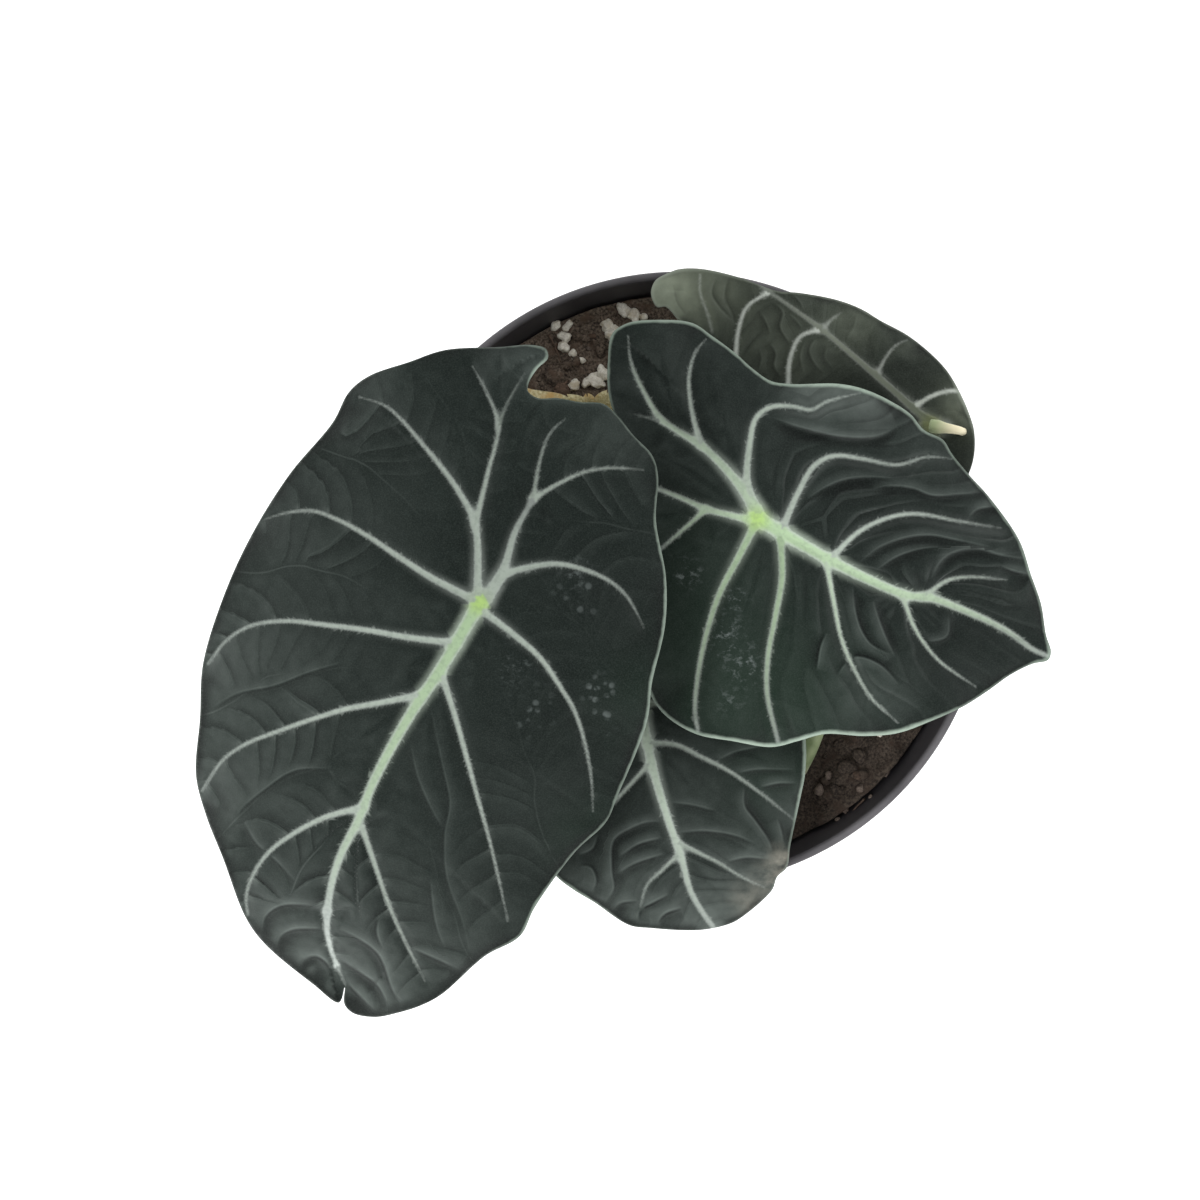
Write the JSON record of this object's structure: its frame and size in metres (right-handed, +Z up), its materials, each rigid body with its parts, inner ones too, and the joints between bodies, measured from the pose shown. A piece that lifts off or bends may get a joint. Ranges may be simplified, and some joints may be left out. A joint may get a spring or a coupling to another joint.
{
  "type": "alocasia black velvet house plant in nursery pot",
  "caption": "Low potted aroid with broad velvety dark leaves and pale raised veins, in a round black nursery pot filled with soil.",
  "frame": {"origin": "centre of the flat underside of the pot", "axes": "+Z up out of the pot; +X towards the second largest leaf, +Y towards the side of the pot where most of the soil shows beside the crown"},
  "size_m": [0.2063, 0.1841, 0.1842],
  "materials": {
    "pot_plastic": "satin",
    "potting_mix": "matte",
    "crown_sheath": "matte",
    "leaf_stalk": "satin",
    "velvet_leaf": "matte"
  },
  "bodies": {
    "root": {"pot": "pot_plastic", "soil": "potting_mix", "crown": "crown_sheath", "side_shoot": "crown_sheath", "petiole_a": "leaf_stalk", "petiole_b": "leaf_stalk", "petiole_c": "leaf_stalk", "petiole_d": "leaf_stalk", "blade_a": "velvet_leaf", "blade_b": "velvet_leaf", "blade_c": "velvet_leaf", "blade_d": "velvet_leaf"}
  },
  "joints": []
}
